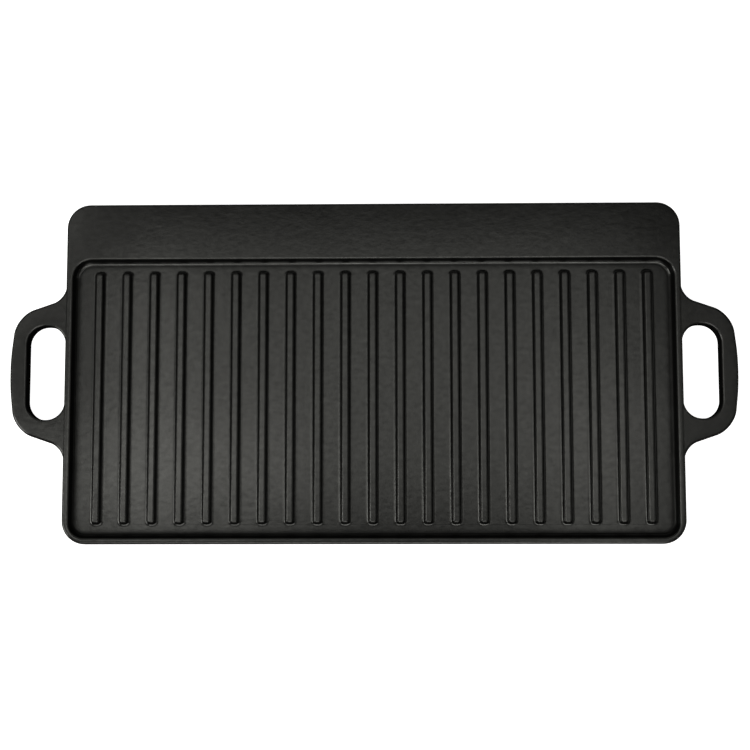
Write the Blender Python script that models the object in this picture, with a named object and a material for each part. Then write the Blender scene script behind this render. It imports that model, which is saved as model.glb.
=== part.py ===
"""Reversible cast iron grill tray, in metres with +Z up.

The tray is one sand casting and nothing is fastened to it. Its ribbed grilling well faces up,
its smooth griddle face and drip trough face down, and a looped handle stands out at each end.
The origin is the middle of the footprint, on the plane of the underside rim that the tray rests on.
"""

from math import cos, pi, radians, sin, tan

import bmesh
import bpy
from mathutils import Vector

# Plate: the outer block of the casting, measured at its parting line
PLATE_LENGTH = 0.4311
PLATE_WIDTH = 0.2386
PLATE_HEIGHT = 0.0150
PLATE_CORNER_RADIUS = 0.0166
PLATE_EDGE_RADIUS = 0.0015
OUTER_DRAFT = radians(2.0)

# Grilling well in the top, with a wide land left behind it
LAND_WIDTH = 0.0393
SIDE_RIM = 0.0041
FRONT_RIM = 0.0038
WELL_DEPTH = 0.0056
WELL_DRAFT = radians(12.0)
WELL_BACK_RADIUS = 0.0135
WELL_FRONT_RADIUS = 0.0110
WELL_LIP_RADIUS = 0.0014
WELL_FLOOR_FILLET = 0.0028

# Grilling ribs on the floor of the well
RIB_COUNT = 21
RIB_HEIGHT = 0.0046
RIB_CROWN_WIDTH = 0.0046
RIB_DRAFT = radians(10.0)
RIB_EDGE_RADIUS = 0.0011
RIB_FILLET = 0.0016
RIB_CORNER_RADIUS = 0.0021
RIB_SIDE_GAP = 0.0188
RIB_FRONT_GAP = 0.0108
RIB_BACK_GAP = 0.0102
RIB_SINK = 0.0008

# Smooth griddle face in the underside, inside a narrow rim
GRIDDLE_RIM = 0.0050
GRIDDLE_DEPTH = 0.0044
GRIDDLE_DRAFT = radians(15.0)
GRIDDLE_CORNER_RADIUS = 0.0120
GRIDDLE_LIP_RADIUS = 0.0010
GRIDDLE_FILLET = 0.0022

# Drip trough, sunk from the griddle face into the back of the land
TROUGH_WALL = 0.0050
TROUGH_ROOF = 0.0050
TROUGH_LEDGE = 0.0030
TROUGH_DRAFT = radians(20.0)
TROUGH_CORNER_RADIUS = 0.0100
TROUGH_LIP_RADIUS = 0.0015
TROUGH_FILLET = 0.0035

# Loop handles
HANDLE_REACH = 0.0384
HANDLE_DROP = 0.0005
HANDLE_LIFT = 0.0024
HANDLE_DRAFT = radians(2.0)
HANDLE_EDGE_RADIUS = 0.0018
SHOULDER_SPAN = 0.1050
SHOULDER_SLOPE = radians(19.0)
ROOT_FILLET = 0.0140
BEND_RADIUS = 0.0227
BOW_TILT = radians(6.5)
BOW_RADIUS = 0.1800
ROOT_BURIAL = 0.0080
SIDE_BLEND = 0.0002

# Grip holes through the handles, full round at both ends
GRIP_WIDTH = 0.0263
GRIP_LENGTH = 0.0656
GRIP_END_FLAT = 0.0008
GRIP_EDGE_RADIUS = 0.0014

# How far a cutter runs on past the face that it cuts, and the least corner left by an inset
OVERRUN = 0.0010
LEAST_RADIUS = 0.00005

# How far away a section's end points are set, which only gives its last corners a direction
SIGHT_LINE = 1.0

# Straight steps in each rounded stretch
CORNER_STEPS = 8
BEND_STEPS = 10
ROOT_STEPS = 6
BOW_STEPS = 3
GRIP_STEPS = 7
EDGE_STEPS = 3
FILLET_STEPS = 4
RIB_CORNER_STEPS = 3
RIB_EDGE_STEPS = 2

# Seasoned iron finish
IRON_COLOUR = (0.022, 0.021, 0.020, 1.0)
IRON_ROUGHNESS = 0.45
IRON_METALLIC = 0.35
SMOOTH_ANGLE = radians(35.0)

# Positions worked out from the sizes above
SIDE_X = PLATE_LENGTH / 2.0
BACK_Y = PLATE_WIDTH / 2.0
WELL_SIDE_X = SIDE_X - SIDE_RIM
WELL_BACK_Y = BACK_Y - LAND_WIDTH
WELL_FRONT_Y = FRONT_RIM - BACK_Y
WELL_FLOOR_Z = PLATE_HEIGHT - WELL_DEPTH
RIB_BASE_SPREAD = RIB_HEIGHT * tan(RIB_DRAFT)
RIB_PITCH = 2.0 * (WELL_SIDE_X - RIB_SIDE_GAP) / (RIB_COUNT - 1)


def arc_corner(x, y, radius=0.0, steps=1):
    """One corner of an outline: its sharp point, its rounding radius and the arc's steps."""
    return Vector((x, y)), radius, steps


def rounded_path(corners, closed=True):
    """Points along straight runs that are joined by tangent arcs."""
    points = []
    last = len(corners) - 1
    for index, (corner, radius, steps) in enumerate(corners):
        at_open_end = not closed and index in (0, last)
        if at_open_end or radius <= 0.0:
            points.append(corner)
            continue
        back = (corners[index - 1][0] - corner).normalized()
        ahead = (corners[(index + 1) % len(corners)][0] - corner).normalized()
        half_angle = back.angle(ahead) / 2.0
        centre = corner + (back + ahead).normalized() * radius / sin(half_angle)
        start = corner + back * radius / tan(half_angle) - centre
        end = corner + ahead * radius / tan(half_angle) - centre
        for step in range(steps + 1):
            direction = start.slerp(end, step / steps)
            points.append(centre + direction * radius)
    return points


def inset_outline(corners, inset):
    """Move each side of a closed anticlockwise outline inwards, with its arcs kept concentric."""
    moved = []
    for index, (corner, radius, steps) in enumerate(corners):
        arriving = (corner - corners[index - 1][0]).normalized()
        leaving = (corners[(index + 1) % len(corners)][0] - corner).normalized()
        inward = arriving.orthogonal() + leaving.orthogonal()
        mitre = inward / (1.0 + arriving.dot(leaving))
        growth = inset if arriving.cross(leaving) < 0.0 else -inset
        new_radius = max(radius + growth, LEAST_RADIUS) if radius else 0.0
        moved.append((corner + mitre * inset, new_radius, steps))
    return moved


def parted_section(bottom, top, draft, edge_radius):
    """Side of a body that is widest at its parting line, as (inset, height) stations."""
    middle = (bottom + top) / 2.0
    lean = (top - middle) * tan(draft)
    corners = [
        arc_corner(SIGHT_LINE, bottom),
        arc_corner(lean, bottom, edge_radius, EDGE_STEPS),
        arc_corner(0.0, middle),
        arc_corner(lean, top, edge_radius, EDGE_STEPS),
        arc_corner(SIGHT_LINE, top),
    ]
    return rounded_path(corners, closed=False)[1:-1]


def flared_section(mouth, end, draft, lip, lip_steps, fillet, fillet_steps):
    """Side of a pocket or a boss: it flares into the face at its mouth and is rounded at its end."""
    lean = abs(end - mouth) * tan(draft)
    corners = [
        arc_corner(-SIGHT_LINE, mouth),
        arc_corner(0.0, mouth, lip, lip_steps),
        arc_corner(lean, end, fillet, fillet_steps),
        arc_corner(SIGHT_LINE, end),
    ]
    stations = rounded_path(corners, closed=False)[1:-1]
    overrun = OVERRUN if mouth > end else -OVERRUN
    beyond = Vector((stations[0].x, mouth + overrun))
    return [beyond] + stations


def loft(name, corners, section):
    """Closed body skinned through an outline that is inset at each station of its section."""
    bm = bmesh.new()
    rings = []
    for inset, height in section:
        outline = rounded_path(inset_outline(corners, inset))
        verts = [bm.verts.new((point.x, point.y, height)) for point in outline]
        closed_run = zip(verts, verts[1:] + verts[:1])
        rings.append([bm.edges.new(pair) for pair in closed_run])
    for lower, upper in zip(rings, rings[1:]):
        bmesh.ops.bridge_loops(bm, edges=lower + upper)
    for ring in (rings[0], rings[-1]):
        bmesh.ops.contextual_create(bm, geom=ring)
    bmesh.ops.recalc_face_normals(bm, faces=bm.faces)
    mesh = bpy.data.meshes.new(name)
    bm.to_mesh(mesh)
    bm.free()
    mesh.shade_smooth()
    mesh.set_sharp_from_angle(angle=SMOOTH_ANGLE)
    return mesh


def rectangle(x_low, x_high, y_low, y_high, front_radius, back_radius, steps):
    """Anticlockwise rectangle with its own corner radii at the front and at the back."""
    return [
        arc_corner(x_low, y_low, front_radius, steps),
        arc_corner(x_high, y_low, front_radius, steps),
        arc_corner(x_high, y_high, back_radius, steps),
        arc_corner(x_low, y_high, back_radius, steps),
    ]


def helper(name, mesh):
    """An object that only serves a Boolean, drawn as wire and left out of renders."""
    shape = bpy.data.objects.new(name, mesh)
    shape.display_type = "WIRE"
    shape.hide_render = True
    bpy.context.scene.collection.objects.link(shape)
    return shape


def combine(body, operation, other):
    """Add one exact Boolean step to a body."""
    step = body.modifiers.new(f"{operation.lower()}_{other.name}", "BOOLEAN")
    step.operation = operation
    step.solver = "EXACT"
    step.object = other


def plate_mesh():
    """The outer block: a rounded rectangle with drafted sides and softened edges."""
    outline = rectangle(
        -SIDE_X, SIDE_X, -BACK_Y, BACK_Y, PLATE_CORNER_RADIUS, PLATE_CORNER_RADIUS, CORNER_STEPS
    )
    return loft("plate", outline, parted_section(0.0, PLATE_HEIGHT, OUTER_DRAFT, PLATE_EDGE_RADIUS))


def well_cutter():
    """The grilling well, open upwards."""
    outline = rectangle(
        -WELL_SIDE_X, WELL_SIDE_X, WELL_FRONT_Y, WELL_BACK_Y,
        WELL_FRONT_RADIUS, WELL_BACK_RADIUS, CORNER_STEPS,
    )
    section = flared_section(
        PLATE_HEIGHT, WELL_FLOOR_Z, WELL_DRAFT,
        WELL_LIP_RADIUS, EDGE_STEPS, WELL_FLOOR_FILLET, FILLET_STEPS,
    )
    return helper("well_cutter", loft("well_cutter", outline, section))


def griddle_cutter():
    """The shallow recess of the smooth griddle face, open downwards."""
    side = SIDE_X - GRIDDLE_RIM
    back = BACK_Y - GRIDDLE_RIM
    outline = rectangle(
        -side, side, -back, back, GRIDDLE_CORNER_RADIUS, GRIDDLE_CORNER_RADIUS, CORNER_STEPS
    )
    section = flared_section(
        0.0, GRIDDLE_DEPTH, GRIDDLE_DRAFT,
        GRIDDLE_LIP_RADIUS, EDGE_STEPS, GRIDDLE_FILLET, FILLET_STEPS,
    )
    return helper("griddle_cutter", loft("griddle_cutter", outline, section))


def trough_cutter():
    """The drip trough under the land, open downwards at the griddle face."""
    side = SIDE_X - GRIDDLE_RIM - TROUGH_LEDGE
    back = BACK_Y - GRIDDLE_RIM - TROUGH_LEDGE
    outline = rectangle(
        -side, side, WELL_BACK_Y + TROUGH_WALL, back,
        TROUGH_CORNER_RADIUS, TROUGH_CORNER_RADIUS, CORNER_STEPS,
    )
    section = flared_section(
        GRIDDLE_DEPTH, PLATE_HEIGHT - TROUGH_ROOF, TROUGH_DRAFT,
        TROUGH_LIP_RADIUS, EDGE_STEPS, TROUGH_FILLET, FILLET_STEPS,
    )
    return helper("trough_cutter", loft("trough_cutter", outline, section))


def rib_row():
    """All grilling ribs, evenly spaced and standing slightly into the floor of the well."""
    half_base = RIB_CROWN_WIDTH / 2.0 + RIB_BASE_SPREAD
    first_x = RIB_SIDE_GAP - WELL_SIDE_X
    front = WELL_FRONT_Y + RIB_FRONT_GAP - RIB_BASE_SPREAD
    back = WELL_BACK_Y - RIB_BACK_GAP + RIB_BASE_SPREAD
    outline = rectangle(
        first_x - half_base, first_x + half_base, front, back,
        RIB_CORNER_RADIUS, RIB_CORNER_RADIUS, RIB_CORNER_STEPS,
    )
    section = flared_section(
        WELL_FLOOR_Z, WELL_FLOOR_Z + RIB_HEIGHT, RIB_DRAFT,
        RIB_FILLET, RIB_EDGE_STEPS, RIB_EDGE_RADIUS, RIB_EDGE_STEPS,
    )
    section[0].y = WELL_FLOOR_Z - RIB_SINK
    row = helper("rib_row", loft("rib", outline, section))
    repeat = row.modifiers.new("one_rib_per_pitch", "ARRAY")
    repeat.count = RIB_COUNT
    repeat.use_relative_offset = False
    repeat.use_constant_offset = True
    repeat.constant_offset_displace = (RIB_PITCH, 0.0, 0.0)
    return row


def handle_outline():
    """Plan of one handle: root fillets, sloping shoulders, wide bends and a slightly bowed end."""
    root_x = SIDE_X - SIDE_BLEND
    shoulder = SHOULDER_SPAN / 2.0
    tip_x = SIDE_X + HANDLE_REACH + BOW_RADIUS * (1.0 / cos(BOW_TILT) - 1.0)
    bend_y = (shoulder - (tip_x - root_x) * tan(SHOULDER_SLOPE)) / (
        1.0 - tan(SHOULDER_SLOPE) * tan(BOW_TILT)
    )
    bend_x = tip_x - bend_y * tan(BOW_TILT)
    buried_x = root_x - ROOT_BURIAL
    buried_y = shoulder + ROOT_FILLET + ROOT_BURIAL
    upper = [
        arc_corner(bend_x, bend_y, BEND_RADIUS, BEND_STEPS),
        arc_corner(root_x, shoulder, ROOT_FILLET, ROOT_STEPS),
        arc_corner(root_x, buried_y),
        arc_corner(buried_x, buried_y),
    ]
    lower = [
        (Vector((point.x, -point.y)), radius, steps) for point, radius, steps in reversed(upper)
    ]
    return lower + [arc_corner(tip_x, 0.0, BOW_RADIUS, BOW_STEPS)] + upper


def grip_section(bottom, top):
    """Side of a grip hole: narrowest at the parting line and rounded over at both faces."""
    middle = (bottom + top) / 2.0
    lean = (top - middle) * tan(HANDLE_DRAFT)
    corners = [
        arc_corner(-SIGHT_LINE, bottom),
        arc_corner(-lean, bottom, GRIP_EDGE_RADIUS, EDGE_STEPS),
        arc_corner(0.0, middle),
        arc_corner(-lean, top, GRIP_EDGE_RADIUS, EDGE_STEPS),
        arc_corner(-SIGHT_LINE, top),
    ]
    stations = rounded_path(corners, closed=False)[1:-1]
    below = Vector((stations[0].x, bottom - OVERRUN))
    above = Vector((stations[-1].x, top + OVERRUN))
    return [below] + stations + [above]


def handle_pair():
    """The right handle with its grip hole, and the same handle turned round for the left end."""
    bottom = HANDLE_LIFT
    top = PLATE_HEIGHT - HANDLE_DROP
    section = parted_section(bottom, top, HANDLE_DRAFT, HANDLE_EDGE_RADIUS)
    hole_radius = (GRIP_WIDTH + SIDE_BLEND - GRIP_END_FLAT) / 2.0
    hole_outline = rectangle(
        SIDE_X - SIDE_BLEND, SIDE_X + GRIP_WIDTH, -GRIP_LENGTH / 2.0, GRIP_LENGTH / 2.0,
        hole_radius, hole_radius, GRIP_STEPS,
    )
    hole = helper("grip_hole", loft("grip_hole", hole_outline, grip_section(bottom, top)))
    right = helper("right_handle", loft("handle", handle_outline(), section))
    combine(right, "DIFFERENCE", hole)
    left = helper("left_handle", right.data)
    left_hole = helper("left_grip_hole", hole.data)
    combine(left, "DIFFERENCE", left_hole)
    left.rotation_euler.z = pi
    left_hole.rotation_euler.z = pi
    return right, left


def seasoned_iron():
    """Satin black iron with a baked-on oil finish."""
    material = bpy.data.materials.new("seasoned_iron")
    material.use_nodes = True
    shader = material.node_tree.nodes["Principled BSDF"]
    shader.inputs["Base Color"].default_value = IRON_COLOUR
    shader.inputs["Roughness"].default_value = IRON_ROUGHNESS
    shader.inputs["Metallic"].default_value = IRON_METALLIC
    return material


def clear_scene():
    """Remove whatever the scene holds before the tray is made."""
    for leftover in list(bpy.data.objects):
        bpy.data.objects.remove(leftover, do_unlink=True)


def build_tray():
    """Join the handles to the plate, cut the three recesses, then stand the ribs in the well."""
    tray = bpy.data.objects.new("grill_plate", plate_mesh())
    bpy.context.scene.collection.objects.link(tray)
    tray.data.materials.append(seasoned_iron())
    for handle in handle_pair():
        combine(tray, "UNION", handle)
    for cutter in (well_cutter(), griddle_cutter(), trough_cutter()):
        combine(tray, "DIFFERENCE", cutter)
    combine(tray, "UNION", rib_row())
    return tray


clear_scene()
build_tray()
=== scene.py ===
"""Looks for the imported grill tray: one casting of seasoned iron on a pale studio floor.

The file is laid out as an add-on and is run as a script. Lengths are in metres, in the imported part's frame.
"""

from math import cos, pi, radians, sin, sqrt, tan

import bmesh
import bpy
from bpy.props import FloatProperty, FloatVectorProperty, IntProperty, PointerProperty
from mathutils import Matrix, Vector


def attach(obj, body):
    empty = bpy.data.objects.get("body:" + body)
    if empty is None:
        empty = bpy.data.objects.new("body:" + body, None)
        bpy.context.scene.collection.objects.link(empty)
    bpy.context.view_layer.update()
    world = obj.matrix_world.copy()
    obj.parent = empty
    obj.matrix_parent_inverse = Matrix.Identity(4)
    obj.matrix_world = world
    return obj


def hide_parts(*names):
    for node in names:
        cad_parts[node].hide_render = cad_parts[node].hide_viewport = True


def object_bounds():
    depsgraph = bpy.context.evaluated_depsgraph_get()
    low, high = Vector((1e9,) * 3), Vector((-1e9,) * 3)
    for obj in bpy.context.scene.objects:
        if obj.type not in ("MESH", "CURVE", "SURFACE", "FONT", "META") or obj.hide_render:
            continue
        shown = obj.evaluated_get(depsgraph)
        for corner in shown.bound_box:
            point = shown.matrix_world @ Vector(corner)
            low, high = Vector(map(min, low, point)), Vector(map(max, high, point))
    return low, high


bl_info = {
    "name": "Grill Tray",
    "version": (1, 0, 0),
    "blender": (4, 5, 0),
    "location": "View3D > Sidebar > Grill Tray",
    "description": "Casts a reversible grill tray in seasoned iron and lights it in a pale studio",
    "category": "Object",
}

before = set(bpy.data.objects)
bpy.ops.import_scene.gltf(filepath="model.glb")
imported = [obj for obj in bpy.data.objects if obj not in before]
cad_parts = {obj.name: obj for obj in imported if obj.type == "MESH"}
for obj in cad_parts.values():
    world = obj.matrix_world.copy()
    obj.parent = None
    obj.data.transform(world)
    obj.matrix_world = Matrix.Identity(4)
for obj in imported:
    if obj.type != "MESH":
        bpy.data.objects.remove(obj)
CAD_LOW, CAD_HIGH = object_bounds()
CAD_SPAN = CAD_HIGH - CAD_LOW
CAD_NODE = "grill_plate"

# How far a handle's root runs into the plate, and how far inside the plate's side its outline begins
ROOT_BURIAL = 0.0030
SIDE_BLEND = 0.0002
# Straight stretch left in the middle of each round end of a grip hole
GRIP_END_FLAT = 0.0008

# Distance over which the painted shade fades out of the well's fillet towards the back
BRIGHT_BLEND = 0.0080

# Steps round each kind of corner
PLATE_STEPS = 16
RIB_STEPS = 6
GRIP_STEPS = 20
BEND_STEPS = 20
BOW_STEPS = 8
SECTION_STEPS = 6

# Points closer than this are one point
WELD = 1e-6
# Edges that turn by more than this stay sharp
SMOOTH_ANGLE = radians(35.0)

# Slopes up to which the two long arcs of a cast foot turn before its fillet
SOFT_SLOPES = (radians(6.0), radians(18.0))

# Sizes of the oil's pools and patches and of the rubbed spots, and the values of the noise between
# which pools and rubbed spots appear
POOL_SIZE = 0.045
POOL_RANGE = (0.35, 0.75)
PATCH_SIZE = 0.012
RUB_SIZE = 0.006
RUB_RANGE = (0.25, 0.65)
# Scale of the place that draws mottles and lumps out along the tray
DRAWN_OUT = (0.65, 1.0, 1.0)
NOISE_MIDDLE = 0.5
# Least share of the painted shade along the well's wall, and how much the patches add to it
PAINTED_SHADE_LEAST = 0.7
PAINTED_SHADE_PATCHES = 0.4

# Outlets and sockets that Blender finds by number
OBJECT_OUTLET = 3
FACTOR_OUTLET = 2
COLOUR_OUTLET = 2
MIX_SHARE, MIX_FIRST, MIX_SECOND = 0, 6, 7

# Round floor, and the half ball of backdrop that stands on it
FLOOR_RADIUS = 8.0
FLOOR_STEPS = 64
BACKDROP_RADIUS = 7.9
BACKDROP_SUBDIVISIONS = 4

# Cloths that hang level over the tray, each with its brightness setting, place, width and height.
# Cloths that overlap hang at heights of their own, because lights in one plane hide each other.
LEVEL_LIGHTS = (
    ("canopy", (0.001, 0.138, 1.5), 0.947, 0.515),
    ("left_patch", (-0.655, -0.050, 1.49), 0.988, 0.154),
    ("right_patch", (0.392, -0.144, 1.49), 0.181, 0.555),
    ("right_end", (0.64, 0.08, 1.48), 0.14, 0.75),
    ("left_end", (-0.460, 0.070, 1.48), 0.093, 0.531),
)
# Lights and cloths that face the tray from the sides, with the same four values
AIMED_LIGHTS = (
    ("key_light", (-1.35, -0.42, 1.27), 0.62, 0.50),
    ("front_light", (0.0, -0.95, 1.61), 1.40, 0.44),
    ("skirt", (0.0, -1.76, 0.71), 0.74, 0.50),
    ("left_wall", (-1.25, 0.0, 1.42), 0.60, 0.90),
    ("right_wall", (1.65, 0.0, 0.95), 0.60, 0.90),
    ("back_corner", (-0.87, 0.50, 1.61), 0.44, 0.44),
    ("back_screen", (0.0, 2.6, 1.10), 4.2, 1.6),
    ("front_screen", (0.0, -2.6, 1.10), 4.2, 1.6),
    ("left_screen", (-2.6, 0.0, 1.10), 4.2, 1.6),
    ("right_screen", (2.6, 0.0, 1.10), 4.2, 1.6),
)

# Camera of the photograph: focal length and sensor in millimetres, place in metres, turn in degrees,
# and the nearest and farthest that it sees
CAMERA_LENS = 62.89
SENSOR_WIDTH = 36.0
CAMERA_PLACE = (0.01729, -0.08906, 0.92137)
CAMERA_TURN = (5.464, 0.997, -0.085)
CLIP_START = 0.01
CLIP_END = 50.0


def length(name, description, default):
    """A length that can be changed in the sidebar."""
    return FloatProperty(
        name=name, description=description, default=default, min=0.0, precision=5, unit="LENGTH"
    )


def angle(name, description, default):
    """An angle that can be changed in the sidebar, given here in degrees."""
    return FloatProperty(
        name=name, description=description, default=radians(default), precision=3,
        subtype="ANGLE", unit="ROTATION",
    )


def share(name, description, default, highest=1.0):
    """A plain number from nought up to its highest value."""
    return FloatProperty(
        name=name, description=description, default=default, min=0.0, max=highest,
        precision=4, subtype="FACTOR",
    )


def colour(name, description, default):
    """A scene-linear colour."""
    return FloatVectorProperty(
        name=name, description=description, default=default, size=3, min=0.0, max=1.0, subtype="COLOR"
    )


def bright(name, description, default):
    """Brightness of a lit surface, where one is white on the picture."""
    return FloatProperty(name=name, description=description, default=default, min=0.0, precision=3)


class TraySizes(bpy.types.PropertyGroup):
    """Sizes of the casting."""

    overall_length: length("Overall length", "Length over both handles", CAD_SPAN.x)
    plate_length: length("Plate length", "Length of the plate without its handles", 0.4311)
    plate_width: length("Plate width", "Width of the plate", CAD_SPAN.y)
    plate_height: length("Plate height", "Height of the plate on the table", CAD_SPAN.z)
    plate_corner: length("Plate corner", "Corner radius of the plate in plan", 0.0166)
    plate_edge: length("Plate edge", "Rounding of the plate's upper and lower edges", 0.0015)
    outer_draft: angle("Outer draft", "Lean of the outer sides from the parting line", 2.0)
    land_width: length("Land width", "Width of the flat land along the back", 0.0393)
    side_rim: length("Side rim", "Width of the rim at each end of the well", 0.0046)
    front_rim: length("Front rim", "Width of the rim in front of the well", 0.0043)
    well_depth: length("Well depth", "Depth of the ribbed well", 0.0056)
    well_draft: angle("Well draft", "Lean of the well's walls", 18.0)
    well_back_corner: length("Well back corner", "Corner radius at the back of the well", 0.0135)
    well_front_corner: length("Well front corner", "Corner radius at the front of the well", 0.0110)
    well_lip: length("Well lip", "Rounding round the mouth of the well", 0.0014)
    well_fillet: length("Well fillet", "Fillet between the well's walls and floor", 0.0028)
    rib_count: IntProperty(name="Ribs", description="Number of grilling ribs", default=21, min=2)
    rib_height: length("Rib height", "Height of the ribs above the floor of the well", 0.0046)
    rib_width: length("Rib width", "Width of a rib's crown, corner to corner", 0.0046)
    rib_draft: angle("Rib draft", "Lean of the ribs' sides", 10.0)
    rib_corner: length("Rib corner", "Corner radius at the ends of a rib in plan", 0.0021)
    rib_edge: length("Rib edge", "Rounding of a rib's upper edges", 0.0013)
    rib_fillet: length("Rib fillet", "Fillet between a rib and the floor", 0.0014)
    foot_start: length("Foot start", "Radius with which a rib's foot leaves the floor", 0.0080)
    foot_bend: length("Foot bend", "Radius between that start and the fillet", 0.0030)
    # How far the painted shade reaches over the floor from the foot of the well's wall
    painted_shade_reach: length("Dull reach", "How far the dull oil along the foot of the well's wall reaches", 0.0055)
    rib_side_gap: length("Rib side gap", "From the well's side to the middle of the end rib", 0.0188)
    rib_front_gap: length("Rib front gap", "From the well's front to the ribs' crowns", 0.0108)
    rib_back_gap: length("Rib back gap", "From the well's back to the ribs' crowns", 0.0102)
    griddle_rim: length("Griddle rim", "Width of the rim round the underside", 0.0050)
    griddle_depth: length("Griddle depth", "Depth of the smooth griddle face in its rim", 0.0044)
    griddle_draft: angle("Griddle draft", "Lean of the inner side of that rim", 15.0)
    griddle_corner: length("Griddle corner", "Corner radius of the griddle face", 0.0120)
    griddle_lip: length("Griddle lip", "Rounding round the mouth of the griddle recess", 0.0010)
    griddle_fillet: length("Griddle fillet", "Fillet round the griddle face", 0.0022)
    trough_wall: length("Trough wall", "Iron left between the well and the trough", 0.0050)
    trough_roof: length("Trough roof", "Iron left between the trough and the land", 0.0050)
    trough_ledge: length("Trough ledge", "Griddle face left outside the trough", 0.0030)
    trough_draft: angle("Trough draft", "Lean of the trough's sides", 20.0)
    trough_corner: length("Trough corner", "Corner radius of the trough in plan", 0.0100)
    trough_lip: length("Trough lip", "Rounding round the mouth of the trough", 0.0015)
    trough_fillet: length("Trough fillet", "Fillet round the bottom of the trough", 0.0035)
    handle_drop: length("Handle drop", "Step from the rim down to the handles' tops", 0.0005)
    handle_lift: length("Handle lift", "Height of the handles' undersides above the table", 0.0024)
    handle_edge: length("Handle edge", "Rounding of the handles' outer edges", 0.0018)
    shoulder_span: length("Shoulder span", "Width of a handle where it meets the plate", 0.1050)
    shoulder_slope: angle("Shoulder slope", "Slope of a handle's shoulders", 19.0)
    root_fillet: length("Root fillet", "Fillet in plan between a handle and the plate", 0.0140)
    bend_radius: length("Bend radius", "Outer radius of a handle's bends", 0.0227)
    bow_tilt: angle("Bow tilt", "Slope of each half of a handle's outer end", 6.5)
    bow_radius: length("Bow radius", "Radius at the middle of a handle's outer end", 0.1800)
    grip_width: length("Grip width", "Width of a grip hole", 0.0263)
    grip_length: length("Grip length", "Length of a grip hole", 0.0656)
    grip_edge: length("Grip edge", "Rounding round a grip hole", 0.0014)


class IronFinish(bpy.types.PropertyGroup):
    """Finish of the seasoned iron."""

    seasoning: colour("Seasoning", "Colour of the baked-on oil", (0.0050, 0.0050, 0.0050))
    # Colour of pooled oil, and also of the painted shade along the well's walls
    pooled_oil_and_shade: colour("Thick seasoning", "Colour where the oil has pooled", (0.0030, 0.0030, 0.0030))
    rubbed_iron: colour("Rubbed iron", "Colour of rubbed edges", (0.0120, 0.0118, 0.0115))
    roughness: share("Roughness", "Roughness of the plain satin surface", 0.20)
    roughness_drift: share("Roughness drift", "How far the roughness drifts from place to place", 0.03)
    rubbed_sheen: share("Rubbed sheen", "How much smoother rubbed edges are", 0.04)
    oil_gloss: share("Oil gloss", "Share of the second coat of oil", 0.25)
    oil_gloss_drift: share("Oil gloss drift", "How unevenly that coat lies", 1.10, highest=2.0)
    oil_lump: length("Oil lump", "Width of one mottle in the oil", 0.0030)
    # Roughness and shine of the painted shade along the foot of the well's walls
    painted_shade_roughness: share("Dull roughness", "Roughness of the oil gathered along the well's wall", 0.40)
    painted_shade_shine: share("Dull shine", "How much that oil reflects", 0.10)
    grain_size: length("Grain size", "Width of one sand grain's print", 0.0007)
    grain_depth: length("Grain depth", "Depth of the grain", 0.000003)
    lump_size: length("Lump size", "Width of the soft lumps of the mould", 0.0034)
    lump_depth: length("Lump depth", "Depth of the lumps", 0.00005)
    sweep_size: length("Sweep size", "Width of the long waves in the surface", 0.0300)
    sweep_depth: length("Sweep depth", "Depth of the long waves", 0.00015)


class StudioLook(bpy.types.PropertyGroup):
    """Floor, lights and camera."""

    floor_colour: colour("Floor colour", "Colour of the pale floor", (0.80, 0.80, 0.80))
    floor_glow: share("Floor glow", "Light given off by the floor itself", 1.30, highest=2.0)
    lamp_tint: colour("Lamp tint", "Colour of the lamps", (1.0, 1.0, 0.93))
    canopy: bright("Canopy", "Brightness of the wide cloth overhead", 0.99)
    left_patch: bright("Left patch", "Brightness of the lamp behind the cloth on the left", 1.44)
    right_patch: bright("Right patch", "Brightness of the lamp behind the cloth on the right", 0.99)
    right_end: bright("Right end", "Brightness of the narrow cloth beyond the right handle", 0.42)
    left_end: bright("Left end", "Brightness of the narrow cloth beyond the left handle", 1.89)
    key_light: bright("Key light", "Brightness of the softbox at the front left", 8.5)
    front_light: bright("Front light", "Brightness of the strip light at the front", 4.6)
    skirt: bright("Skirt", "Brightness of the low cloth at the front", 1.4)
    left_wall: bright("Left wall", "Brightness of the cloth on the left", 0.7)
    right_wall: bright("Right wall", "Brightness of the cloth on the right", 0.31)
    back_corner: bright("Back corner", "Brightness of the cloth at the back left", 1.2)
    back_screen: bright("Back screen", "Brightness of the wide low screen behind the tray", 0.36)
    front_screen: bright("Front screen", "Brightness of the wide low screen in front of the tray", 0.20)
    left_screen: bright("Left screen", "Brightness of the wide low screen on the left", 0.12)
    right_screen: bright("Right screen", "Brightness of the wide low screen on the right", 0.14)


def arc(radius, start, end, steps, rubbed):
    """Moves round one arc of a section, from one slope to another: inwards, onwards and wear."""
    slopes = [start + (end - start) * step / steps for step in range(steps + 1)]
    moves = []
    for step in range(steps):
        inwards = radius * abs(sin(slopes[step + 1]) - sin(slopes[step]))
        onwards = radius * abs(cos(slopes[step + 1]) - cos(slopes[step]))
        wear = sin(pi * (step + 1) / steps) if rubbed else 0.0
        moves.append((inwards, onwards, wear))
    return moves


def bends(radii, draft):
    """Arcs from the flat to a leaning side, each with its radius and the slopes it joins."""
    slopes = (0.0, *SOFT_SLOPES[:len(radii) - 1], pi / 2.0 - draft)
    return list(zip(radii, slopes, slopes[1:]))


def rise(radii, draft):
    """Height that the arcs take up between the flat and the side."""
    return sum(radius * (cos(low) - cos(high)) for radius, low, high in bends(radii, draft))


def spread(radii, draft):
    """How far the arcs at the foot of a leaning side reach out past the side's sharp corner."""
    across = sum(radius * (sin(high) - sin(low)) for radius, low, high in bends(radii, draft))
    return across - rise(radii, draft) * tan(draft)


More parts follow.
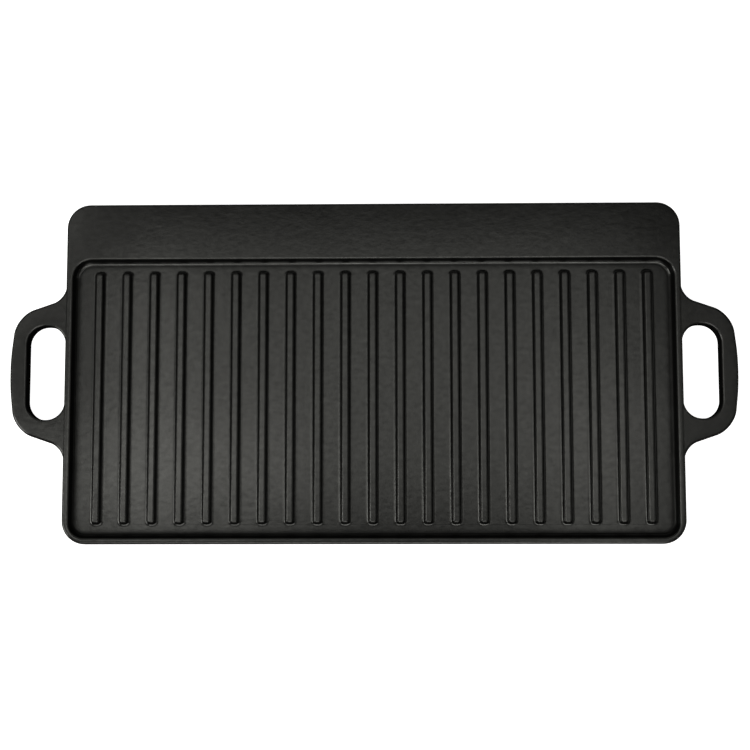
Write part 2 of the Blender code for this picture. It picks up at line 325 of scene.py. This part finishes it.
def section(depth, draft, first=(), last=(), rubbed="last"):
    """Moves down or up a leaning side, with arcs where it starts and ends, of which one end is rubbed."""
    moves = []
    for radius, low, high in bends(first, draft):
        moves += arc(radius, low, high, SECTION_STEPS, rubbed == "first")
    straight = depth - rise(first, draft) - rise(last, draft)
    moves.append((straight * tan(draft), straight, 0.0))
    for radius, low, high in reversed(bends(last, draft)):
        moves += arc(radius, high, low, SECTION_STEPS, rubbed == "last")
    return moves


def reach(radius, turn):
    """How far a rounding reaches along its sides to pass where an arc of that radius would."""
    half = turn / 2.0
    return radius * (1.0 / cos(half) - 1.0) / ((2.0 - sqrt(2.0)) * sin(half))


def plan_face(bm, corners, height):
    """One flat face from a few corners, each rounded over its own reach along both of its sides."""
    known = set(bm.faces)
    verts = [bm.verts.new((x, y, height)) for x, y, *_ in corners]
    bm.faces.new(verts)
    for vert, (*_, rounding, steps) in zip(verts, corners):
        if rounding:
            bmesh.ops.bevel(
                bm, geom=[vert], offset=rounding, offset_type="OFFSET", segments=steps,
                profile=0.5, affect="VERTICES", material=-1,
            )
    bm.normal_update()
    return next(face for face in bm.faces if face not in known)


def rounded_rectangle(bm, low, high, height, front, back, grow, steps):
    """A flat rectangle with its own corner radii at the front and the back, grown on all sides."""
    x_low, y_low = low[0] - grow, low[1] - grow
    x_high, y_high = high[0] + grow, high[1] + grow
    corners = [
        (x_low, y_low, front + grow, steps),
        (x_high, y_low, front + grow, steps),
        (x_high, y_high, back + grow, steps),
        (x_low, y_high, back + grow, steps),
    ]
    return plan_face(bm, corners, height)


def carry(bm, faces, moves, direction):
    """Take flat faces through a section, upwards or downwards, with new side faces at each move."""
    worn = bm.verts.layers.float["worn"]
    for inwards, onwards, wear in moves:
        bmesh.ops.inset_region(
            bm, faces=faces, thickness=inwards, use_even_offset=True, use_boundary=True
        )
        verts = list({vert for face in faces for vert in face.verts})
        bmesh.ops.translate(bm, verts=verts, vec=(0.0, 0.0, onwards * direction))
        for vert in verts:
            vert[worn] = wear


def give_mouths(bm, face, mouths):
    """Open a flat face round the mouths that lie in it."""
    rims = [edge for each in (face, *mouths) for edge in each.edges]
    bmesh.ops.delete(bm, geom=[face], context="FACES_ONLY")
    bmesh.ops.triangle_fill(bm, edges=rims, use_beauty=True, normal=(0.0, 0.0, 1.0))


def new_casting():
    """An empty bmesh with the layers that tell where the iron is rubbed and where painted shade lies along
    the well's walls.
    """
    bm = bmesh.new()
    bm.verts.layers.float.new("worn")
    bm.verts.layers.float.new("painted_shade")
    return bm


def cast_halves(bm, sizes):
    """The plain plate in two halves from its parting line, of which the top and bottom are given back."""
    side_x = sizes.plate_length / 2.0
    back_y = sizes.plate_width / 2.0
    middle = sizes.plate_height / 2.0
    outer_faces = []
    for direction in (1, -1):
        half = rounded_rectangle(
            bm, (-side_x, -back_y), (side_x, back_y), middle,
            sizes.plate_corner, sizes.plate_corner, 0.0, PLATE_STEPS,
        )
        carry(bm, [half], section(middle, sizes.outer_draft, last=(sizes.plate_edge,)), direction)
        outer_faces.append(half)
    return outer_faces


def well_outline(sizes):
    """Low and high corner of the well's mouth in plan, where the walls would meet the top sharply."""
    side_x = sizes.plate_length / 2.0
    back_y = sizes.plate_width / 2.0
    well_x = side_x - sizes.side_rim
    return (-well_x, sizes.front_rim - back_y), (well_x, back_y - sizes.land_width)


def sink_well(bm, top, sizes):
    """Sink the well into the top, mark painted shade along its walls and the floor at their foot, and give
    back its floor.
    """
    outside = set(bm.verts)
    low, high = well_outline(sizes)
    well = rounded_rectangle(
        bm, low, high, sizes.plate_height, sizes.well_front_corner, sizes.well_back_corner,
        spread((sizes.well_lip,), sizes.well_draft), PLATE_STEPS,
    )
    give_mouths(bm, top, [well])
    side = section(
        sizes.well_depth, sizes.well_draft, (sizes.well_lip,), (sizes.well_fillet,), rubbed="first"
    )
    carry(bm, [well], side, -1)

    # Painted shade on the well's wall and fillet, where the wall's shadow falls; it fades out of the fillet
    # towards the back
    painted_shade = bm.verts.layers.float["painted_shade"]
    floor_z = sizes.plate_height - sizes.well_depth
    bright_start = high[1] - sizes.well_back_corner
    fillet_top = floor_z + rise((sizes.well_fillet,), sizes.well_draft) - WELD
    lip_foot = sizes.plate_height - rise((sizes.well_lip,), sizes.well_draft) + WELD
    for vert in set(bm.verts) - outside:
        if fillet_top < vert.co.z < lip_foot:
            vert[painted_shade] = 1.0
        elif vert.co.z < fillet_top:
            vert[painted_shade] = min(1.0, max(0.0, 1.0 - (vert.co.y - bright_start) / BRIGHT_BLEND))
    # A flat ring along the foot of the wall, over which the painted shade fades out on the floor. Its outer
    # points copy the value of the points that move inwards, so those carry the painted shade until the ring
    # is there.
    for vert in well.verts:
        vert[painted_shade] = 1.0
    carry(bm, [well], [(sizes.painted_shade_reach, 0.0, 0.0)], -1)
    for vert in well.verts:
        vert[painted_shade] = 0.0
    return well


def raise_ribs(bm, well_floor, sizes):
    """Stand the ribs on the floor of the well, at even distances."""
    foot = (sizes.foot_start, sizes.foot_bend, sizes.rib_fillet)
    lean = sizes.rib_height * tan(sizes.rib_draft)
    half_rib = sizes.rib_width / 2.0 + lean
    low, high = well_outline(sizes)
    first_x = low[0] + sizes.rib_side_gap
    pitch = -2.0 * first_x / (sizes.rib_count - 1)
    front = low[1] + sizes.rib_front_gap - lean
    back = high[1] - sizes.rib_back_gap + lean
    ribs = []
    for count in range(sizes.rib_count):
        rib_x = first_x + count * pitch
        ribs.append(rounded_rectangle(
            bm, (rib_x - half_rib, front), (rib_x + half_rib, back),
            sizes.plate_height - sizes.well_depth, sizes.rib_corner, sizes.rib_corner,
            spread(foot, sizes.rib_draft), RIB_STEPS,
        ))
    give_mouths(bm, well_floor, ribs)
    carry(bm, ribs, section(sizes.rib_height, sizes.rib_draft, foot, (sizes.rib_edge,)), 1)


def sink_griddle(bm, bottom, sizes):
    """Sink the griddle face into the underside, and the drip trough into the griddle face."""
    griddle_x = sizes.plate_length / 2.0 - sizes.griddle_rim
    griddle_y = sizes.plate_width / 2.0 - sizes.griddle_rim
    griddle = rounded_rectangle(
        bm, (-griddle_x, -griddle_y), (griddle_x, griddle_y), 0.0,
        sizes.griddle_corner, sizes.griddle_corner,
        spread((sizes.griddle_lip,), sizes.griddle_draft), PLATE_STEPS,
    )
    give_mouths(bm, bottom, [griddle])
    griddle_side = section(
        sizes.griddle_depth, sizes.griddle_draft, (sizes.griddle_lip,), (sizes.griddle_fillet,),
        rubbed="first",
    )
    carry(bm, [griddle], griddle_side, 1)

    trough_x = griddle_x - sizes.trough_ledge
    trough_front = well_outline(sizes)[1][1] + sizes.trough_wall
    trough = rounded_rectangle(
        bm, (-trough_x, trough_front), (trough_x, griddle_y - sizes.trough_ledge),
        sizes.griddle_depth, sizes.trough_corner, sizes.trough_corner,
        spread((sizes.trough_lip,), sizes.trough_draft), PLATE_STEPS,
    )
    give_mouths(bm, griddle, [trough])
    trough_depth = sizes.plate_height - sizes.trough_roof - sizes.griddle_depth
    trough_side = section(
        trough_depth, sizes.trough_draft, (sizes.trough_lip,), (sizes.trough_fillet,), rubbed="first"
    )
    carry(bm, [trough], trough_side, 1)


def cast_plate(sizes):
    """The plate without its handles: ribbed well above, griddle face and drip trough below."""
    bm = new_casting()
    top, bottom = cast_halves(bm, sizes)
    raise_ribs(bm, sink_well(bm, top, sizes), sizes)
    sink_griddle(bm, bottom, sizes)
    return bm


def handle_corners(sizes):
    """Corners of a handle's outline in plan, anticlockwise, each with the reach of its rounding."""
    side_x = sizes.plate_length / 2.0
    root_x = side_x - SIDE_BLEND
    shoulder = sizes.shoulder_span / 2.0
    slope, tilt = tan(sizes.shoulder_slope), tan(sizes.bow_tilt)
    tip_x = sizes.overall_length / 2.0 + sizes.bow_radius * (1.0 / cos(sizes.bow_tilt) - 1.0)
    bend_y = (shoulder - (tip_x - root_x) * slope) / (1.0 - slope * tilt)
    bend_x = tip_x - bend_y * tilt
    buried_x = root_x - ROOT_BURIAL
    buried_y = shoulder + sizes.root_fillet + ROOT_BURIAL
    root_turn = pi / 2.0 - sizes.shoulder_slope
    bend = reach(sizes.bend_radius, root_turn - sizes.bow_tilt)
    root = reach(sizes.root_fillet, root_turn)
    bow = reach(sizes.bow_radius, 2.0 * sizes.bow_tilt)
    upper = [
        (bend_x, bend_y, bend, BEND_STEPS),
        (root_x, shoulder, root, BEND_STEPS),
        (root_x, buried_y, 0.0, 1),
        (buried_x, buried_y, 0.0, 1),
    ]
    lower = [(x, -y, rounding, steps) for x, y, rounding, steps in reversed(upper)]
    return lower + [(tip_x, 0.0, bow, BOW_STEPS)] + upper


def cast_handle(sizes):
    """One loop handle with its grip hole: the half above its parting line, mirrored down."""
    bm = new_casting()
    top = sizes.plate_height - sizes.handle_drop
    half = (top - sizes.handle_lift) / 2.0
    side_x = sizes.plate_length / 2.0
    handle = plan_face(bm, handle_corners(sizes), 0.0)
    carry(bm, [handle], section(half, sizes.outer_draft, last=(sizes.handle_edge,)), 1)
    round_end = (sizes.grip_width + SIDE_BLEND - GRIP_END_FLAT) / 2.0
    flare = spread((sizes.grip_edge,), sizes.outer_draft) + half * tan(sizes.outer_draft)
    grip = rounded_rectangle(
        bm, (side_x - SIDE_BLEND, -sizes.grip_length / 2.0),
        (side_x + sizes.grip_width, sizes.grip_length / 2.0),
        half, round_end, round_end, flare, GRIP_STEPS,
    )
    give_mouths(bm, handle, [grip])
    carry(bm, [grip], section(half, sizes.outer_draft, first=(sizes.grip_edge,), rubbed="first"), -1)
    bmesh.ops.delete(bm, geom=[grip], context="FACES_ONLY")
    bmesh.ops.mirror(
        bm, geom=bm.verts[:] + bm.edges[:] + bm.faces[:], matrix=Matrix.Identity(4),
        merge_dist=WELD, axis="Z",
    )
    bmesh.ops.translate(bm, verts=bm.verts, vec=(0.0, 0.0, top - half))
    return bm


def settle(bm, name):
    """Close the seams of a casting, turn its faces outwards and link it as an object."""
    bmesh.ops.remove_doubles(bm, verts=bm.verts, dist=WELD)
    bmesh.ops.recalc_face_normals(bm, faces=bm.faces)
    mesh = bpy.data.meshes.new(name)
    bm.to_mesh(mesh)
    bm.free()
    piece = bpy.data.objects.new(name, mesh)
    bpy.context.scene.collection.objects.link(piece)
    return piece


def join(body, parts):
    """Unite the parts with the body and keep the result as the body's own mesh."""
    for part in parts:
        step = body.modifiers.new(part.name, "BOOLEAN")
        step.operation = "UNION"
        step.solver = "EXACT"
        step.object = part
    evaluated = body.evaluated_get(bpy.context.evaluated_depsgraph_get())
    body.data = bpy.data.meshes.new_from_object(evaluated)
    body.modifiers.clear()
    for part in parts:
        bpy.data.objects.remove(part, do_unlink=True)


class Wire:
    """A socket whose sums and products add the Math nodes that work them out."""

    def __init__(self, finish, socket):
        self.finish = finish
        self.socket = socket

    def maths(self, operation, *values):
        """Add one Math node."""
        return self.finish.add("Math", {"operation": operation}, dict(enumerate(values)))

    def __add__(self, other):
        return self.maths("ADD", self, other)

    def __radd__(self, other):
        return self.maths("ADD", other, self)

    def __sub__(self, other):
        return self.maths("SUBTRACT", self, other)

    def __mul__(self, other):
        return self.maths("MULTIPLY", self, other)

    def between(self, low, high):
        """Nought below one value, one above the other, and a smooth rise in between."""
        return self.finish.add(
            "MapRange", {"interpolation_type": "SMOOTHSTEP", "clamp": True},
            {"Value": self, "From Min": low, "From Max": high},
        )


class Finish:
    """The node tree of one material."""

    def __init__(self, name):
        self.material = bpy.data.materials.new(name)
        self.material.use_nodes = True
        self.tree = self.material.node_tree
        self.tree.nodes.clear()

    def add(self, kind, settings=None, sockets=None, outlet=0):
        """Add a node of a type, with its settings first and then the values or links of its sockets."""
        node = self.tree.nodes.new("ShaderNode" + kind)
        for name, value in (settings or {}).items():
            setattr(node, name, value)
        for name, value in (sockets or {}).items():
            if isinstance(value, Wire):
                self.tree.links.new(value.socket, node.inputs[name])
            else:
                node.inputs[name].default_value = value
        return Wire(self, node.outputs[outlet]) if node.outputs else None

    def noise(self, place, size, detail=2.0, roughness=0.5):
        """Smooth noise of a given feature size, from nought to one."""
        return self.add(
            "TexNoise", {"noise_dimensions": "3D"},
            {"Vector": place, "Scale": 1.0 / size, "Detail": detail, "Roughness": roughness},
        )

    def blend(self, share_of_second, first, second):
        """Mix two colours."""
        sockets = {MIX_SHARE: share_of_second, MIX_FIRST: first, MIX_SECOND: second}
        return self.add("Mix", {"data_type": "RGBA"}, sockets, outlet=COLOUR_OUTLET)


def rgba(value):
    """A colour property with full opacity."""
    return (*value, 1.0)


def seasoned_iron(settings):
    """Satin black cast iron: sand grain and soft lumps under uneven, baked-on oil, with painted shade, a
    darker and duller sheet, along the foot of the well's walls.
    """
    look = Finish("seasoned_iron")
    place = look.add("TexCoord", outlet=OBJECT_OUTLET)
    worn = look.add("Attribute", {"attribute_name": "worn"}, outlet=FACTOR_OUTLET)

    pooled = look.noise(place, POOL_SIZE, detail=3.0).between(*POOL_RANGE)
    patches = look.noise(place, PATCH_SIZE, detail=4.0, roughness=0.65)
    rub = worn * look.noise(place, RUB_SIZE, detail=3.0).between(*RUB_RANGE)
    base = look.blend(pooled, rgba(settings.seasoning), rgba(settings.pooled_oil_and_shade))
    base = look.blend(rub, base, rgba(settings.rubbed_iron))

    drawn_out = look.add("VectorMath", {"operation": "MULTIPLY"}, {0: place, 1: DRAWN_OUT})
    mottle = look.noise(drawn_out, settings.oil_lump, roughness=0.6)
    oil = settings.oil_gloss + (mottle - NOISE_MIDDLE) * settings.oil_gloss_drift

    drift = (patches - NOISE_MIDDLE) * settings.roughness_drift
    roughness = settings.roughness + drift - rub * settings.rubbed_sheen

    grain = look.noise(place, settings.grain_size, roughness=0.6)
    lumps = look.noise(drawn_out, settings.lump_size)
    sweep = look.noise(place, settings.sweep_size, detail=1.0)
    height = (
        grain * settings.grain_depth + lumps * settings.lump_depth + sweep * settings.sweep_depth
    )
    normal = look.add("Bump", None, {"Strength": 1.0, "Distance": 1.0, "Height": height})
    shader = look.add("BsdfPrincipled", None, {
        "Base Color": base, "Roughness": roughness, "Metallic": 0.0, "Normal": normal,
        "Coat Weight": oil, "Coat Roughness": settings.roughness,
    })
    # Painted shade: a darker, duller sheet mixed in along the foot of the well's walls, standing in for their
    # shadow on the floor
    painted_shade_sheet = look.add("BsdfPrincipled", None, {
        "Base Color": rgba(settings.pooled_oil_and_shade), "Roughness": settings.painted_shade_roughness,
        "Specular IOR Level": settings.painted_shade_shine, "Normal": normal,
    })
    painted_shade = look.add("Attribute", {"attribute_name": "painted_shade"}, outlet=FACTOR_OUTLET)
    painted_shade = painted_shade * painted_shade * (PAINTED_SHADE_LEAST + patches * PAINTED_SHADE_PATCHES)
    shader = look.add("MixShader", None, {0: painted_shade, 1: shader, 2: painted_shade_sheet})
    look.add("OutputMaterial", None, {"Surface": shader})
    return look.material


def pale_floor(studio):
    """Plain pale floor that gives off a little light of its own."""
    look = Finish("pale_floor")
    shader = look.add("BsdfPrincipled", None, {
        "Base Color": rgba(studio.floor_colour), "Roughness": 1.0, "Specular IOR Level": 0.0,
        "Emission Color": rgba(studio.floor_colour), "Emission Strength": studio.floor_glow,
    })
    look.add("OutputMaterial", None, {"Surface": shader})
    return look.material


def only_seen(*pieces):
    """Show stage pieces to the camera, while their light stays off the tray."""
    for piece in pieces:
        piece.visible_diffuse = False
        piece.visible_glossy = False
        piece.visible_shadow = False


def soft_light(studio, name, place, width, height, aimed=True):
    """A rectangular soft light that faces the tray, or hangs level and shines straight down."""
    lamp = bpy.data.lights.new(name, "AREA")
    lamp.shape = "RECTANGLE"
    lamp.size = width
    lamp.size_y = height
    lamp.energy = getattr(studio, name) * width * height * pi
    lamp.color = studio.lamp_tint
    light = bpy.data.objects.new(name, lamp)
    light.location = place
    if aimed:
        light.rotation_euler = (-Vector(place)).to_track_quat("-Z", "Y").to_euler()
    light.visible_camera = False
    bpy.context.scene.collection.objects.link(light)


def lay_floor(studio):
    """The pale floor and the half ball of backdrop round it."""
    surface = pale_floor(studio)
    bm = bmesh.new()
    bmesh.ops.create_circle(bm, cap_ends=True, radius=FLOOR_RADIUS, segments=FLOOR_STEPS)
    floor = settle(bm, "studio_floor")
    bm = bmesh.new()
    bmesh.ops.create_icosphere(bm, subdivisions=BACKDROP_SUBDIVISIONS, radius=BACKDROP_RADIUS)
    bmesh.ops.bisect_plane(
        bm, geom=bm.verts[:] + bm.edges[:] + bm.faces[:], plane_co=(0.0, 0.0, 0.0),
        plane_no=(0.0, 0.0, 1.0), clear_inner=True,
    )
    backdrop = settle(bm, "studio_backdrop")
    for piece in (floor, backdrop):
        piece.data.materials.append(surface)
    only_seen(floor, backdrop)


def hang_lights(studio):
    """The soft lights in an otherwise dark room."""
    for name, place, width, height in LEVEL_LIGHTS:
        soft_light(studio, name, place, width, height, aimed=False)
    for name, place, width, height in AIMED_LIGHTS:
        soft_light(studio, name, place, width, height)
    room = bpy.data.worlds.new("dark_room")
    room.use_nodes = True
    background = room.node_tree.nodes["Background"]
    background.inputs["Color"].default_value = (1.0, 1.0, 1.0, 1.0)
    background.inputs["Strength"].default_value = 0.0
    bpy.context.scene.world = room


def place_camera(scene):
    """The camera of the photograph, almost straight above the tray, with plain colours."""
    lens = bpy.data.cameras.new("photo_camera")
    lens.lens = CAMERA_LENS
    lens.sensor_width = SENSOR_WIDTH
    lens.clip_start = CLIP_START
    lens.clip_end = CLIP_END
    camera = bpy.data.objects.new("photo_camera", lens)
    camera.location = CAMERA_PLACE
    camera.rotation_euler = [radians(turn) for turn in CAMERA_TURN]
    scene.collection.objects.link(camera)
    scene.camera = camera
    scene.view_settings.view_transform = "Standard"
    scene.view_settings.look = "None"


class CastTray(bpy.types.Operator):
    """Cast the whole tray and season it"""

    bl_idname = "grill_tray.cast"
    bl_label = "Cast the Tray"

    def execute(self, context):
        sizes = context.scene.grill_tray_sizes
        tray = settle(cast_plate(sizes), "iron_tray")
        right = settle(cast_handle(sizes), "right_handle")
        other_hand = cast_handle(sizes)
        bmesh.ops.rotate(
            other_hand, verts=other_hand.verts, cent=(0.0, 0.0, 0.0), matrix=Matrix.Rotation(pi, 3, "Z")
        )
        left = settle(other_hand, "left_handle")
        join(tray, [right, left])
        tray.data.materials.clear()
        tray.data.materials.append(seasoned_iron(context.scene.grill_tray_finish))
        tray.data.shade_smooth()
        tray.data.set_sharp_from_angle(angle=SMOOTH_ANGLE)
        level = tray.modifiers.new("level_flats", "WEIGHTED_NORMAL")
        level.mode = "FACE_AREA"
        level.keep_sharp = True
        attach(tray, "root")
        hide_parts(CAD_NODE)
        return {"FINISHED"}


class SetStage(bpy.types.Operator):
    """Lay the pale floor, hang the soft lights and place the camera over the tray"""

    bl_idname = "grill_tray.stage"
    bl_label = "Set the Stage"

    def execute(self, context):
        lay_floor(context.scene.grill_tray_studio)
        hang_lights(context.scene.grill_tray_studio)
        place_camera(context.scene)
        return {"FINISHED"}


class GrillTrayPanel(bpy.types.Panel):
    """Sidebar panel with the tray's operators and settings"""

    bl_idname = "VIEW3D_PT_grill_tray"
    bl_label = "Grill Tray"
    bl_space_type = "VIEW_3D"
    bl_region_type = "UI"
    bl_category = "Grill Tray"

    def draw(self, context):
        for title, operator, settings in (
            ("Casting", CastTray, context.scene.grill_tray_sizes),
            ("Finish", None, context.scene.grill_tray_finish),
            ("Stage", SetStage, context.scene.grill_tray_studio),
        ):
            box = self.layout.box()
            box.label(text=title)
            for name in settings.__annotations__:
                box.prop(settings, name)
            if operator:
                box.operator(operator.bl_idname)


CLASSES = (TraySizes, IronFinish, StudioLook, CastTray, SetStage, GrillTrayPanel)


def register():
    for kind in CLASSES:
        bpy.utils.register_class(kind)
    bpy.types.Scene.grill_tray_sizes = PointerProperty(type=TraySizes)
    bpy.types.Scene.grill_tray_finish = PointerProperty(type=IronFinish)
    bpy.types.Scene.grill_tray_studio = PointerProperty(type=StudioLook)


def unregister():
    del bpy.types.Scene.grill_tray_studio
    del bpy.types.Scene.grill_tray_finish
    del bpy.types.Scene.grill_tray_sizes
    for kind in reversed(CLASSES):
        bpy.utils.unregister_class(kind)


def main():
    """Register the add-on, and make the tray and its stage."""
    register()
    bpy.ops.grill_tray.cast()
    bpy.ops.grill_tray.stage()


if __name__ == "__main__":
    main()
